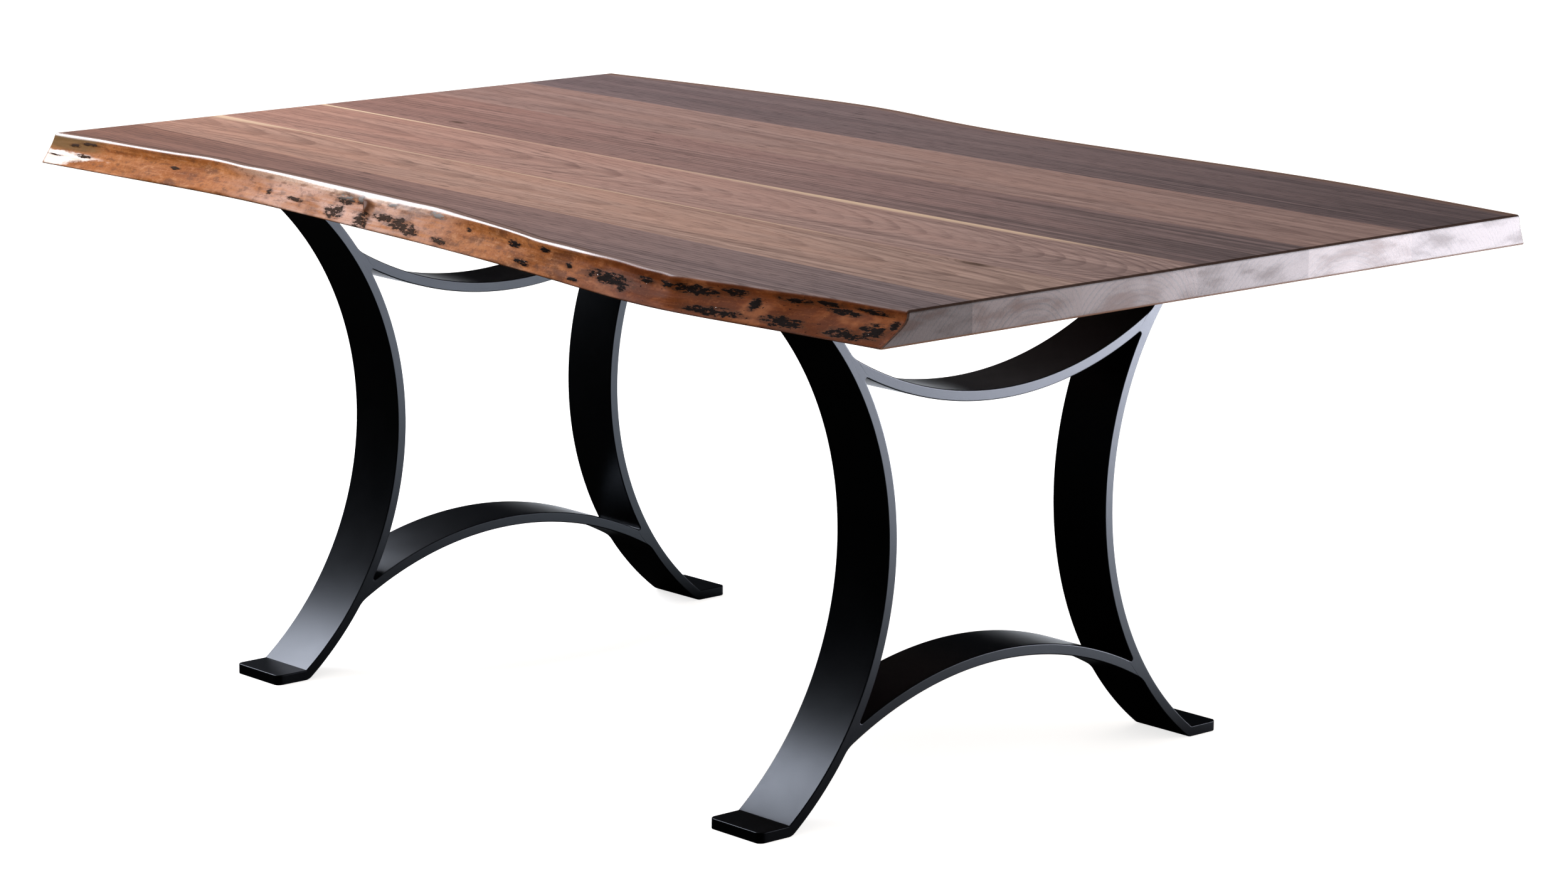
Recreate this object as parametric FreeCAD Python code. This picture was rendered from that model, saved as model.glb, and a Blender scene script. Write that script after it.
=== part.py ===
import FreeCAD, Part
import os
from math import sqrt

# Live edge dining table: a glued top of six boards on two welded trestles of bent flat bar.
# Millimetres. X runs along the table, Y from the front edge to the back, Z up from the floor.

# Table as a whole
table_length = 1829.0
table_height = 762.0
top_width = 1255.0
top_thickness = 42.0

# Live edges: each slopes out from the top arris to the bottom edge
front_wane_width = 46.0
back_wane_width = 24.0
end_round = 3.0

# Trestles
trestle_spacing = 1038.0
base_shift_along = -16.0
base_shift_across = -21.0
bar_width = 100.0
bar_thickness = 15.0
waist_gap = 390.0
foot_spread = 864.0
toe_length = 52.0
toe_corner_round = 10.0
crease_round = 3.0
heel_round = 15.0

# Rails: the upper one sags and the lower one arches, alike about the trestle's waist
rail_apex_spacing = 358.0
rail_bow = 67.0

# Welds: ground to a wide hollow on the open side of a rail, left small in the notch
open_weld_radius = 40.0
notch_weld_radius = 2.5
weld_inset = 1.2
weld_clearance = 0.3
weld_fill_share = 0.3

# Screws that hold the trestles to the top, through slots across the table's width
screw_diameter = 8.0
screw_length = 40.0
screw_head_width = 13.0
screw_head_height = 5.3
screw_pitch = 60.0
screw_row_share = 0.32
slot_width = 9.0
slot_length = 16.0
washer_diameter = 22.0
washer_thickness = 2.0

# Plan of the top: control points of each live edge's bottom outline at even stations from the left
# end to the right, as shares of half the width, and the wane there, as shares of its widest
front_outline_shares = (0.882, 0.867, 0.838, 0.846, 0.869, 0.889, 0.921, 0.966, 1.020, 0.972, 0.951)
front_wane_shares = (0.54, 0.62, 0.70, 0.66, 0.76, 0.82, 0.42, 0.47, 0.42, 0.80, 1.00)
back_outline_shares = (0.889, 0.940, 0.973, 1.014, 0.969, 0.967, 0.976, 0.989, 1.004, 0.979, 0.951)
back_wane_shares = (0.75, 0.67, 0.62, 0.54, 0.83, 1.00, 0.83, 0.67, 0.62, 0.54, 0.50)

# Section of a live edge, from the top arris down: each level's drop as a share of the thickness
# and its way out as a share of the wane
wane_section_shares = ((0.0, 0.0), (0.36, 0.07), (0.57, 0.38), (0.75, 0.64), (1.0, 1.0))

# Glue joints between the boards, front to back, at the left end and at the right end
joint_left_shares = (-0.611, -0.367, -0.060, 0.262, 0.573)
joint_right_shares = (-0.708, -0.408, -0.075, 0.257, 0.580)
inner_board_names = ("second_board", "third_board", "fourth_board", "fifth_board")

# Worked out from the sizes above
half_length = table_length / 2
half_width = top_width / 2
half_bar = bar_width / 2
base_height = table_height - top_thickness
waist_height = base_height / 2
toe_tip = foot_spread / 2
heel = toe_tip - toe_length
waist_outer = waist_gap / 2 + bar_thickness
leg_rise = waist_height - bar_thickness
leg_bow = heel - waist_outer
leg_outer_radius = (leg_rise**2 + leg_bow**2) / (2 * leg_bow)
leg_inner_radius = leg_outer_radius + bar_thickness
leg_centre = (waist_outer + leg_outer_radius, waist_height)
rail_apex = waist_height + rail_apex_spacing / 2
rail_end = leg_centre[0] - sqrt(leg_inner_radius**2 - (rail_apex + rail_bow - waist_height)**2)
rail_radius = (rail_end**2 + rail_bow**2) / (2 * rail_bow)
rail_top_radius = rail_radius - bar_thickness / 2
rail_bottom_radius = rail_radius + bar_thickness / 2
rail_centre = (0, rail_apex + rail_radius)
flange_underside = base_height - bar_thickness
screw_row = heel + toe_length * screw_row_share

x_axis = FreeCAD.Vector(1, 0, 0)
y_axis = FreeCAD.Vector(0, 1, 0)
z_axis = FreeCAD.Vector(0, 0, 1)


def section_point(point, x=0):
    """A point (y, z) of a trestle's section as a vector."""
    return FreeCAD.Vector(x, point[0], point[1])


def line(start, end):
    return Part.LineSegment(start, end).toShape()


def arc_about(centre, radius, start, end, x=0):
    """The shorter arc from start to end on a circle, all given in a trestle's section."""
    middle = section_point(start) + section_point(end) - 2 * section_point(centre)
    middle.normalize()
    through = section_point(centre, x) + middle * radius
    return Part.Arc(section_point(start, x), through, section_point(end, x)).toShape()


def extrude_bar(edges):
    """A closed outline at the bar's left face, carried over the bar's width."""
    return Part.Face(Part.Wire(edges)).extrude(x_axis * bar_width)


def circles_meet(centre_a, radius_a, centre_b, radius_b):
    """Where two circles of a section meet, on the side nearer to the rail's own apex."""
    a = section_point(centre_a)
    b = section_point(centre_b)
    apart = (b - a).Length
    along = (apart**2 + radius_a**2 - radius_b**2) / (2 * apart)
    across = sqrt(radius_a**2 - along**2)
    forward = (b - a) * (1 / apart)
    sideways = forward.cross(x_axis)
    meets = [a + forward * along + sideways * across, a + forward * along - sideways * across]
    nearest = min(meets, key=lambda point: abs(point.z - rail_apex))
    return (nearest.y, nearest.z)


def even_knots(points):
    """Evenly spaced knots of a cubic over a number of control points, with how often each counts."""
    spans = points - 3
    return [index / spans for index in range(spans + 1)], [4] + [1] * (spans - 1) + [4]


def live_curves(outline_shares, wane_width, wane_shares):
    """Smooth curves along a front live edge, one at each level of its section from the top down."""
    stations = len(outline_shares)
    knots, counts = even_knots(stations)
    curves = []
    for drop_share, out_share in wane_section_shares:
        points = []
        for index in range(stations):
            x = -half_length + table_length * index / (stations - 1)
            y = wane_width * wane_shares[index] * (1 - out_share) - half_width * outline_shares[index]
            points.append(FreeCAD.Vector(x, y, table_height - top_thickness * drop_share))
        curve = Part.BSplineCurve()
        curve.buildFromPolesMultsKnots(points, counts, knots, False, 3)
        curves.append(curve.toShape())
    return curves


def polygon_face(corners):
    return Part.Face(Part.makePolygon(corners + corners[:1]))


def live_edge_board(joint, outline_shares, wane_width, wane_shares):
    """An outer board at the front: flat at its glue joint, live at its outer edge, eased at its ends.

    Ruled strips between the live edge's curves, flat rims above and below, sawn ends and the joint
    close into one solid."""
    curves = live_curves(outline_shares, wane_width, wane_shares)
    heights = [table_height, base_height]
    joint_points = [
        [FreeCAD.Vector(x, half_width * share, z) for z in heights]
        for x, share in zip((-half_length, half_length), joint)
    ]
    faces = [Part.makeRuledSurface(lower, upper) for upper, lower in zip(curves, curves[1:])]
    for level, curve in enumerate((curves[0], curves[-1])):
        left, right = (vertex.Point for vertex in curve.Vertexes)
        corners = [right, joint_points[1][level], joint_points[0][level], left]
        faces.append(Part.Face(Part.Wire([curve] + [line(a, b) for a, b in zip(corners, corners[1:])])))
    for end in (0, 1):
        profile = [curve.Vertexes[end].Point for curve in curves]
        faces.append(polygon_face(profile + joint_points[end][::-1]))
    faces.append(polygon_face(joint_points[0] + joint_points[1][::-1]))
    shell = Part.makeCompound(faces)
    shell.sewShape()
    return ease_ends(Part.Solid(shell.Shells[0]))


def inner_board(front_joint, back_joint):
    """A board between two glue joints, sawn flat all round and eased at its top ends."""
    corners = [
        FreeCAD.Vector(-half_length, half_width * front_joint[0], base_height),
        FreeCAD.Vector(half_length, half_width * front_joint[1], base_height),
        FreeCAD.Vector(half_length, half_width * back_joint[1], base_height),
        FreeCAD.Vector(-half_length, half_width * back_joint[0], base_height),
    ]
    return ease_ends(polygon_face(corners).extrude(z_axis * top_thickness))


def ease_ends(board):
    """Round a board's sawn ends along the top."""
    top_ends = [
        edge for edge in board.Edges
        if edge.BoundBox.XLength < end_round and edge.BoundBox.ZMin > table_height - end_round
    ]
    return board.makeFillet(end_round, top_ends)


def leg():
    """The back leg of a trestle at the origin: an inward bow with a toe and a flange turned out."""
    x = -half_bar
    floor_heel = leg_centre[0] - sqrt(leg_inner_radius**2 - waist_height**2)
    crease = (heel, bar_thickness)
    top_crease = (heel, flange_underside)
    tip = [(toe_tip, 0), (toe_tip, bar_thickness)]
    top_tip = [(toe_tip, flange_underside), (toe_tip, base_height)]
    straight = [(floor_heel, 0), *tip, crease]
    top_straight = [top_crease, *top_tip, (floor_heel, base_height)]
    edges = [line(section_point(a, x), section_point(b, x)) for a, b in zip(straight, straight[1:])]
    edges.append(arc_about(leg_centre, leg_outer_radius, crease, top_crease, x))
    edges += [
        line(section_point(a, x), section_point(b, x)) for a, b in zip(top_straight, top_straight[1:])
    ]
    edges.append(arc_about(leg_centre, leg_inner_radius, top_straight[-1], straight[0], x))
    solid = extrude_bar(edges)
    solid = round_bends(solid, heel_round, floor_heel)
    solid = round_bends(solid, crease_round, heel)
    tip_corners = [
        edge for edge in solid.Edges
        if edge.BoundBox.YMin > screw_row and edge.BoundBox.ZLength > bar_thickness / 2
    ]
    solid = solid.makeFillet(toe_corner_round, tip_corners)
    return solid.cut(Part.makeCompound([slot(place) for place in screw_places()]))


def round_bends(solid, radius, distance):
    """Round the edges that run across the bar at one distance from the trestle's middle."""
    across = [
        edge for edge in solid.Edges
        if edge.BoundBox.XLength > half_bar and abs(edge.BoundBox.Center.y - distance) < bar_thickness / 10
    ]
    return solid.makeFillet(radius, across)


def screw_places():
    """The two screws of one flange, as points on the flange's underside."""
    return [FreeCAD.Vector(x, screw_row, flange_underside) for x in (-screw_pitch / 2, screw_pitch / 2)]


def slot(place):
    """A slot through a flange, long across the table so that the wood can move."""
    reach = (slot_length - slot_width) / 2
    ends = [
        Part.makeCylinder(slot_width / 2, bar_thickness, place + y_axis * offset)
        for offset in (-reach, reach)
    ]
    corner = place - x_axis * (slot_width / 2) - y_axis * reach
    return Part.makeBox(slot_width, 2 * reach, bar_thickness, corner).fuse(ends)


def upper_rail():
    """The sagging rail, its ends cut to the legs' inner faces."""
    x = -half_bar
    beyond = rail_end + bar_thickness

    def on_rail(radius, y):
        return (y, rail_centre[1] - sqrt(radius**2 - y**2))

    top_ends = [on_rail(rail_top_radius, y) for y in (-beyond, beyond)]
    bottom_ends = [on_rail(rail_bottom_radius, y) for y in (-beyond, beyond)]
    blank = extrude_bar([
        arc_about(rail_centre, rail_top_radius, top_ends[0], top_ends[1], x),
        line(section_point(top_ends[1], x), section_point(bottom_ends[1], x)),
        arc_about(rail_centre, rail_bottom_radius, bottom_ends[1], bottom_ends[0], x),
        line(section_point(bottom_ends[0], x), section_point(top_ends[0], x)),
    ])
    return blank.cut(Part.makeCompound([leg_cylinder(side) for side in (-1, 1)]))


def leg_cylinder(side):
    """The round bar that a leg's inner face is bent about."""
    start = section_point((side * leg_centre[0], leg_centre[1]), -bar_width)
    return Part.makeCylinder(leg_inner_radius, 2 * bar_width, start, x_axis)


def weld(radius, rail_face_radius, outside):
    """The bead between the back leg and one face of the upper rail, a little fuller than a hollow of
    the radius and just clear of both bars.

    outside is 1 where the bead lies outside the circle of the rail's face and -1 inside it."""
    leg_side = leg_inner_radius + weld_clearance
    rail_side = rail_face_radius + outside * weld_clearance
    middle = circles_meet(leg_centre, leg_side + radius, rail_centre, rail_side + outside * radius)
    root = circles_meet(leg_centre, leg_side, rail_centre, rail_side)
    x = weld_inset - half_bar

    def toward(centre, reach):
        spoke = section_point(middle) - section_point(centre)
        spoke.normalize()
        point = section_point(centre) + spoke * reach
        return (point.y, point.z)

    on_leg = toward(leg_centre, leg_side)
    on_face = toward(rail_centre, rail_side)
    tips = [section_point(on_face, x), section_point(on_leg, x)]
    chord_middle = (tips[0] + tips[1]) * 0.5
    spoke = chord_middle - section_point(middle, x)
    sag = radius - spoke.Length
    spoke.normalize()
    hollow = Part.Arc(tips[0], chord_middle + spoke * (sag * (1 - weld_fill_share)), tips[1])
    outline = Part.Wire([
        arc_about(leg_centre, leg_side, on_leg, root, x),
        arc_about(rail_centre, rail_side, root, on_face, x),
        hollow.toShape(),
    ])
    return Part.Face(outline).extrude(x_axis * (bar_width - 2 * weld_inset))


def upper_rail_welds():
    """Both beads at both ends of the upper rail, as separate solids."""
    beads = [
        weld(open_weld_radius, rail_top_radius, -1),
        weld(notch_weld_radius, rail_bottom_radius, 1),
    ]
    return Part.makeCompound(beads + [mirror_front(bead) for bead in beads])


def screw(place):
    """A hexagon-headed wood screw from below the washer up into the top."""
    head_height = z_axis * screw_head_height
    head = hexagon(screw_head_width, place - z_axis * washer_thickness - head_height).extrude(head_height)
    return head.fuse(screw_shank(place)).removeSplitter()


def screw_shank(place):
    """The plain round shank above the washer's underside."""
    return Part.makeCylinder(screw_diameter / 2, screw_length, place - z_axis * washer_thickness)


def hexagon(across_flats, centre):
    corner = x_axis * (across_flats / sqrt(3))
    turns = [FreeCAD.Rotation(z_axis, 60 * index) for index in range(6)]
    return polygon_face([centre + turn.multVec(corner) for turn in turns])


def washer(place):
    seat = place - z_axis * washer_thickness
    disc = Part.makeCylinder(washer_diameter / 2, washer_thickness, seat)
    return disc.cut(Part.makeCylinder(slot_width / 2, washer_thickness, seat))


def both_flanges(make):
    """One fitting at each screw of a trestle, back and front, as separate solids."""
    back = [make(place) for place in screw_places()]
    return Part.makeCompound(back + [mirror_front(solid) for solid in back])


def mirror_front(shape):
    return shape.mirror(FreeCAD.Vector(0, 0, 0), y_axis)


def mirror_down(shape):
    return shape.mirror(z_axis * waist_height, z_axis)


def trestle_place(side):
    return FreeCAD.Vector(side * trestle_spacing / 2 + base_shift_along, base_shift_across, 0)


def trestle_pieces():
    """Every piece of one trestle about its own middle, by name."""
    back_leg = leg()
    rail = upper_rail()
    welds = upper_rail_welds()
    return {
        "front_leg": mirror_front(back_leg),
        "back_leg": back_leg,
        "upper_rail": rail,
        "lower_rail": mirror_down(rail),
        "upper_rail_welds": welds,
        "lower_rail_welds": mirror_down(welds),
        "top_screws": both_flanges(screw),
        "washers": both_flanges(washer),
    }


def top_boards():
    """The six boards of the top, front to back, by name."""
    joints = list(zip(joint_left_shares, joint_right_shares))
    boards = {
        "front_live_edge_board": live_edge_board(
            joints[0], front_outline_shares, front_wane_width, front_wane_shares),
    }
    for name, front_joint, back_joint in zip(inner_board_names, joints, joints[1:]):
        boards[name] = inner_board(front_joint, back_joint)
    back_joint = [-share for share in joints[-1]]
    boards["back_live_edge_board"] = mirror_front(live_edge_board(
        back_joint, back_outline_shares, back_wane_width, back_wane_shares))
    return boards


def drill_for_screws(board):
    """Cut the holes of the screws that fall within a board."""
    shanks = both_flanges(screw_shank)
    for side in (-1, 1):
        board = board.cut(shanks.translated(trestle_place(side)))
    return board


os.makedirs("parts", exist_ok=True)
for board_name, board in top_boards().items():
    drill_for_screws(board).exportStep("parts/" + board_name + ".step")
for piece_name, piece in trestle_pieces().items():
    for side, side_name in ((-1, "left"), (1, "right")):
        piece.translated(trestle_place(side)).exportStep("parts/" + side_name + "_" + piece_name + ".step")
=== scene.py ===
"""Looks of the live edge dining table: six walnut boards on two trestles of bent flat bar, in metres."""

import math
from types import SimpleNamespace

import bpy
import numpy as np
from mathutils import Matrix, Vector


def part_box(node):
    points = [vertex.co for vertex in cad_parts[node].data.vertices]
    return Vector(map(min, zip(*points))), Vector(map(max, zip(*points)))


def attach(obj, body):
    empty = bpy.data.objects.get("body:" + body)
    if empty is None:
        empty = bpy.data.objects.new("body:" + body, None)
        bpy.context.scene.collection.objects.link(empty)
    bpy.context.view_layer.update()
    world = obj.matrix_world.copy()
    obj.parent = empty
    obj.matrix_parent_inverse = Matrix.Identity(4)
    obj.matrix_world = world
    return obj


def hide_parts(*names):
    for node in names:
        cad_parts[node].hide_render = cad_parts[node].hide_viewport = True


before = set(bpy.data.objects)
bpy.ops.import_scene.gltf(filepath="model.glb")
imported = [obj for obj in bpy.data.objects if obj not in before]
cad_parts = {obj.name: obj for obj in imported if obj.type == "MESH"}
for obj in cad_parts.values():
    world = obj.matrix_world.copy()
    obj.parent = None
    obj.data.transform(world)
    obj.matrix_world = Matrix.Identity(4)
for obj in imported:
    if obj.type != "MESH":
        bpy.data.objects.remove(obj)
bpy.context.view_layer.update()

# Sizes of the trestles, in metres.
bar_edge = 0.0015
bar_support = 0.0004
bar_thick = 0.015
toe_reach = 0.052
toe_corner = 0.010
toe_rows = (0.016, 0.03)
crease = 0.003
rail_bow = 0.067
rail_past = 0.0105
joint_lap = 0.00004
open_hollow = 0.040
notch_hollow = 0.0025
weld_run = 0.0012
weld_dip = 0.0003
weld_bury = 0.005

# Sizes of the live edge boards, in metres. The last of the top's insets clears the arris roll.
arris_roll = 0.0068
foot_roll = 0.002
end_roll = 0.003
row_gap = 0.001
end_margin = 0.004
top_insets = np.array([0.036, 0.026, 0.018, 0.012, 0.0095, 0.007])
live_depth = 0.17
swell_relief = 0.0028
fibre_relief = 0.0003
bark_relief = 0.0004
crust_relief = 0.0006
relief_fade = 0.012
foot_fade = 0.004
bark_fade = (0.002, 0.008)

# The length along the edge and the height of its lumps, in metres.
swell_size = (0.075, 0.020)
ripple_size = (0.030, 0.009)
fibre_size = (0.030, 0.0022)
crust_size = (0.0035, 0.0018)

# Plain numbers: the stub's run along the edge for its drop, and how sharply the edge's section bends.
stub_lean = 1.3
knee_sharpness = 12.0

# Points on each curve.
corner_steps = 6
toe_steps = 14
bend_steps = 12
bow_steps = 140
rail_steps = 90
hollow_steps = 26
buried_steps = 30
end_steps = 7
arris_steps = 11
face_steps = 40


# Meshes from whole arrays


def ease(low, high, value):
    """0 below low, 1 above high, and the cubic 3t^2 - 2t^3 between."""
    t = np.clip((value - low) / (high - low), 0.0, 1.0)
    return t * t * (3.0 - 2.0 * t)


def hill(value, middle, half_width):
    """A bell curve of height 1: e to the minus square of the distance in half widths."""
    return np.exp(-(((value - middle) / half_width) ** 2))


def lumps(u, v, seed):
    """Smooth random heights from 0 to 1: seeded values on a lattice that wraps, eased between its points."""
    long, wide = 512, 64
    heights = np.random.default_rng(seed).random((long, wide))
    i, j = np.floor(u).astype(int), np.floor(v).astype(int)
    a, b = ease(0.0, 1.0, u - i), ease(0.0, 1.0, v - j)
    i, j, next_i, next_j = i % long, j % wide, (i + 1) % long, (j + 1) % wide
    near = heights[i, j] * (1 - a) + heights[next_i, j] * a
    far = heights[i, next_j] * (1 - a) + heights[next_i, next_j] * a
    return near * (1 - b) + far * b


def round_in(depth, radius):
    """How far a round of that radius stands back at a depth from its end: r - sqrt(r^2 - (r - s)^2)."""
    left = np.clip(radius - depth, 0.0, None)
    return radius - np.sqrt(np.clip(radius**2 - left**2, 0.0, None))


def round_steps(radius, count):
    """Depths from a round's end at even turns through a quarter circle: r (1 - cos a)."""
    return radius * (1 - np.cos(np.linspace(0.0, math.pi / 2, count)))


def on_circle(angle):
    """Unit directions at angles, along the last axis."""
    return np.stack([np.cos(angle), np.sin(angle)], axis=-1)


def tube_faces(stations, count, first):
    """Quads between neighbouring closed rings of count points, and one many-sided cap at each end."""
    s, k = np.meshgrid(np.arange(stations - 1), np.arange(count), indexing="ij")
    here, after = s * count + k, s * count + (k + 1) % count
    quads = np.stack([here, after, after + count, here + count], axis=-1)
    caps = [np.arange(count)[::-1], (stations - 1) * count + np.arange(count)]
    return (quads.reshape(-1, 4) + first).tolist(), [(cap + first).tolist() for cap in caps]


def outward(rings):
    """The rings, each one's order turned round if the tube's signed volume shows that it is inside out."""
    following = np.roll(rings, -1, axis=1)
    middle = rings.mean(axis=1, keepdims=True)
    sweep = np.cross(rings - middle, following - middle).sum(axis=1) * 0.5
    travel = np.gradient(rings.mean(axis=1), axis=0)
    return rings if (sweep * travel).sum() > 0 else rings[:, ::-1]


def add_object(name, data):
    """A new object in the scene."""
    thing = bpy.data.objects.new(name, data)
    bpy.context.scene.collection.objects.link(thing)
    return thing


def tubes(name, all_rings, values=None):
    """One object of capped tubes, each an array of rings by points by xyz; values are numbers per point."""
    points, sides, ends = [], [], []
    for rings in all_rings:
        quads, caps = tube_faces(rings.shape[0], rings.shape[1], sum(len(p) for p in points))
        points.append(rings.reshape(-1, 3))
        sides += quads
        ends += caps
    mesh = bpy.data.meshes.new(name)
    mesh.from_pydata(np.concatenate(points).tolist(), [], sides + ends)
    mesh.polygons.foreach_set("use_smooth", np.arange(len(sides) + len(ends)) < len(sides))
    for label, numbers in (values or {}).items():
        attribute = mesh.attributes.new(label, "FLOAT", "POINT")
        attribute.data.foreach_set("value", numbers.ravel().astype(np.float32))
    mesh.update()
    piece = add_object(name, mesh)
    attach(piece, "root")
    return piece


# Trestles of flat bar


def bar_section(half_width, half_thick):
    """Sections of a flat bar, one per station: a rectangle with its corners rounded by a quarter circle.
    A point close to each end of a round keeps the flats flat when the shading is smoothed."""
    turn = np.linspace(0.0, math.pi / 2, corner_steps)
    out = np.concatenate([[bar_edge], bar_edge * np.cos(turn), [-bar_support]])
    up = np.concatenate([[-bar_support], bar_edge * np.sin(turn), [bar_edge]])
    across = np.concatenate([out, -out[::-1], -out, out[::-1]])
    over = np.concatenate([up, up[::-1], -up, -up[::-1]])
    side = np.repeat([1.0, -1.0, -1.0, 1.0], len(out))
    face = np.repeat([1.0, 1.0, -1.0, -1.0], len(out))
    return (
        side * (half_width[:, None] - bar_edge) + across,
        face * (half_thick[:, None] - bar_edge) + over,
    )


def bar_rings(path, normal, half_width, half_thick, middle_x):
    """A bar's rings: its section, across in x and over along the normal, at each point of a (y, z) path."""
    across, over = bar_section(half_width, half_thick)
    spot = path[:, None, :] + over[..., None] * normal[:, None, :]
    return outward(np.stack([middle_x + across, spot[..., 0], spot[..., 1]], axis=-1))


def leg_path(trestle):
    """A leg's middle line in (distance from the trestle's middle, height), from toe tip to flange tip.
    The toe is straight, a small arc turns it into the bowed leg, and the upper half mirrors the lower.
    The small arc's centre lies on the line from the leg's centre to the point where the two arcs touch."""
    tip, mid = trestle.tip, trestle.mid
    centre, radius = trestle.leg_centre, trestle.leg_radius
    bend = crease + bar_thick / 2
    rise = mid - bar_thick / 2 - bend
    bend_at = centre - math.sqrt((radius - bend) ** 2 - rise**2)
    meet = math.atan2(-rise, bend_at - centre)
    toe = np.concatenate([round_steps(toe_corner, toe_steps), toe_rows])
    toe = toe[toe < tip - bend_at]
    straight = np.stack([tip - toe, np.full_like(toe, bar_thick / 2)], axis=-1)
    down = np.tile([0.0, -1.0], (len(toe), 1))
    turn = on_circle(np.linspace(-math.pi / 2, meet, bend_steps))
    bow = on_circle(np.linspace(meet, -2 * math.pi - meet, bow_steps)[1:-1])
    foot = np.concatenate([straight, np.array([bend_at, bar_thick / 2 + bend]) + bend * turn])
    foot_normal = np.concatenate([down, turn])
    flip = np.array([1.0, -1.0])
    head = (foot * flip + np.array([0.0, 2 * mid]))[::-1]
    path = np.concatenate([foot, np.array([centre, mid]) + radius * bow, head])
    normal = np.concatenate([foot_normal, bow, (foot_normal * flip)[::-1]])
    depth = np.concatenate([toe, np.full(len(path) - 2 * len(toe), 1.0), toe[::-1]])
    return path, normal, depth


def trestle_sizes(side):
    """A trestle's sizes, read from the boxes of its CAD nodes."""
    front_low, front_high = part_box(side + "_front_leg")
    back_low, back_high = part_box(side + "_back_leg")
    rail_low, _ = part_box(side + "_upper_rail")
    centre_y = (front_low.y + back_high.y) / 2
    mid = (front_low.z + front_high.z) / 2
    tip = (back_high.y - front_low.y) / 2
    waist = (back_low.y - front_high.y) / 2 + bar_thick
    heel = tip - toe_reach
    rise = mid - bar_thick
    bow = heel - waist
    outer = (rise**2 + bow**2) / (2 * bow)
    centre = waist + outer
    apex = rail_low.z + bar_thick / 2
    reach = centre - math.sqrt((outer + bar_thick) ** 2 - (apex + rail_bow - mid) ** 2)
    rail = (reach**2 + rail_bow**2) / (2 * rail_bow)
    return SimpleNamespace(
        x=(front_low.x + front_high.x) / 2,
        half=(front_high.x - front_low.x) / 2,
        y=centre_y,
        mid=mid,
        tip=tip,
        leg_centre=centre,
        leg_radius=outer + bar_thick / 2,
        rail_centre=apex + rail,
        rail_radius=rail,
        reach=reach,
    )


def leg(name, trestle, facing):
    """A leg: the bar's section on the leg's path, narrowed at both tips by the toe's corners and edges."""
    path, normal, depth = leg_path(trestle)
    edge = round_in(depth, bar_edge)
    half_width = trestle.half - round_in(depth, toe_corner) - edge
    half_thick = np.full(len(depth), bar_thick / 2) - edge
    place = np.array([facing, 1.0])
    path = path * place + np.array([trestle.y, 0.0])
    rings = bar_rings(path, normal * place, half_width, half_thick, trestle.x)
    piece = tubes(name + "_bar", [rings])
    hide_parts(name)
    return piece


def rail(name, trestle, upward):
    """A rail: the bar's section on an arc whose ends run on into the legs.
    The lower rail is the upper one turned over."""
    end = math.asin(trestle.reach / trestle.rail_radius) + rail_past / trestle.rail_radius
    angle = np.linspace(-end, end, rail_steps)
    unit = np.stack([np.sin(angle), -np.cos(angle)], axis=-1)
    path = np.array([0.0, trestle.rail_centre]) + trestle.rail_radius * unit
    place = np.array([1.0, upward])
    shift = np.array([trestle.y, 0.0 if upward > 0 else 2 * trestle.mid])
    half_width = np.full(len(angle), trestle.half - joint_lap)
    half_thick = np.full(len(angle), bar_thick / 2)
    rings = bar_rings(path * place + shift, unit * place, half_width, half_thick, trestle.x)
    piece = tubes(name + "_bar", [rings])
    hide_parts(name)
    return piece


def toward(start, end):
    """The unit direction from one point to another."""
    return (end - start) / np.linalg.norm(end - start)


def two_circles(a, ra, b, rb, near):
    """The point at distance ra from a and rb from b that lies nearer to the given one."""
    apart = np.linalg.norm(b - a)
    along = (apart**2 + ra**2 - rb**2) / (2 * apart)
    off = math.sqrt(ra**2 - along**2)
    line = toward(a, b)
    cross = np.array([-line[1], line[0]])
    both = a + along * line + np.array([[off], [-off]]) * cross
    return both[np.argmin(np.linalg.norm(both - near, axis=1))]


def arc(centre, start, end, count):
    """Points on the shorter arc about a centre, from start to end, and unit directions from the centre."""
    first = math.atan2(*(start - centre)[::-1])
    turn = (math.atan2(*(end - centre)[::-1]) - first + math.pi) % (2 * math.pi) - math.pi
    unit = on_circle(first + np.linspace(0.0, turn, count))
    return centre + np.linalg.norm(start - centre) * unit, unit


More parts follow.
